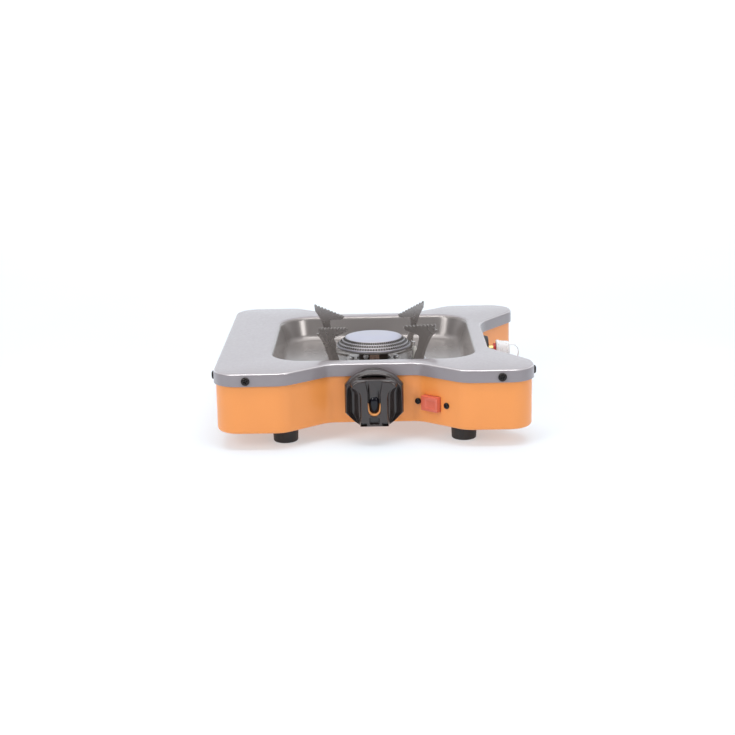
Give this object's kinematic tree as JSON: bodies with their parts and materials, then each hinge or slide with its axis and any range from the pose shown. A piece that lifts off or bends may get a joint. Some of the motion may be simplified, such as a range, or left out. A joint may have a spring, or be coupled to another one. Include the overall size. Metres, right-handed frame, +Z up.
{
  "type": "camping stove",
  "caption": "Low single-burner camping gas stove with a waisted sheet case, spill pan, folded pan supports, front knob, piezo button and capped side gas inlet.",
  "frame": {"origin": "on the ground below the centre of the stove's outline", "axes": "+X to the right seen from the knob side, +Y towards the back, +Z up"},
  "size_m": [0.3044, 0.3004, 0.098],
  "materials": {
    "case_paint": "semi-gloss orange powder coat",
    "plate_paint": "satin warm grey paint with a lilac cast",
    "black_screw": "blackened screws, glossy",
    "zinc_steel": "zinc-plated fasteners and brackets",
    "foot_rubber": "matt black rubber",
    "knob_plastic": "glossy dark brown-black plastic",
    "bezel_plastic": "glossy black plastic",
    "inlay_plastic": "orange pointer ring",
    "dome_plastic": "polished black dome",
    "valve_brass": "machined brass",
    "spindle_steel": "turned steel",
    "seal_rubber": "black nitrile rubber",
    "mixer_steel": "drawn steel tube",
    "neck_iron": "dark casting with brown heat tint",
    "tab_copper": "copper-brown heat-tinted strip",
    "bright_screw": "bright pan-head screws",
    "cup_steel": "pressed burner bowl",
    "cap_steel": "bright stainless burner cap",
    "support_steel": "satin nickel-plated sheet steel",
    "button_plastic": "semi-gloss red plastic",
    "igniter_plastic": "black piezo housing",
    "spring_steel": "spring wire",
    "ceramic": "glazed white ceramic",
    "lead_rubber": "silicone-covered lead",
    "inlet_brass": "machined brass fitting",
    "inlet_plastic": "black inlet collar",
    "seal_red": "red fibre washer",
    "cap_plastic": "milky translucent plastic",
    "pipe_copper": "copper gas pipe"
  },
  "bodies": {
    "stove": {"case": "case_paint", "top_plate": "plate_paint", "plate_screws": "black_screw", "foot_front_left": "foot_rubber", "foot_front_right": "foot_rubber", "foot_back_left": "foot_rubber", "foot_back_right": "foot_rubber", "foot_screws": "zinc_steel", "foot_nuts": "zinc_steel", "knob_bezel": "bezel_plastic", "valve_body": "valve_brass", "valve_gland_nut": "valve_brass", "valve_seal": "seal_rubber", "valve_bracket": "zinc_steel", "valve_screws": "zinc_steel", "gas_jet": "valve_brass", "mixer_tube": "mixer_steel", "mixer_screws": "zinc_steel", "burner_neck": "neck_iron", "burner_tab": "tab_copper", "burner_screw": "bright_screw", "burner_cup": "cup_steel", "burner_cap": "cap_steel", "support_base": "support_steel", "support_screws": "bright_screw", "support_nuts": "zinc_steel", "support_arm_front_left": "support_steel", "support_arm_front_right": "support_steel", "support_arm_back_left": "support_steel", "support_arm_back_right": "support_steel", "igniter_spring": "spring_steel", "igniter_body": "igniter_plastic", "igniter_bracket": "zinc_steel", "igniter_screws": "black_screw", "electrode_insulator": "ceramic", "electrode_pin": "spindle_steel", "electrode_clip": "zinc_steel", "electrode_screw": "bright_screw", "electrode_lead": "lead_rubber", "inlet_fitting": "inlet_brass", "inlet_bezel": "inlet_plastic", "inlet_seal": "seal_red", "gas_pipe": "pipe_copper", "pipe_nuts": "valve_brass"},
    "knob": {"knob": "knob_plastic", "knob_inlay": "inlay_plastic", "knob_dome": "dome_plastic", "valve_spindle": "spindle_steel"},
    "button": {"igniter_button": "button_plastic", "igniter_plunger": "spindle_steel"},
    "inlet_cap": {"dust_cap": "cap_plastic"}
  },
  "joints": [
    {"name": "knob_turn", "type": "hinge", "parent": "stove", "child": "knob", "pos_m": [0, -0.1125, 0.0455], "axis": [0, -1, 0], "range_deg": [0, 270]},
    {"name": "igniter_press", "type": "slide", "parent": "stove", "child": "button", "axis": [0.6327, 0.7744, 0], "range_m": [0, 0.005], "stiffness_N_per_m": 900, "deforming": ["igniter_spring"]},
    {"name": "cap_pull", "type": "slide", "parent": "stove", "child": "inlet_cap", "axis": [1, 0, 0], "range_m": [0, 0.03]}
  ]
}
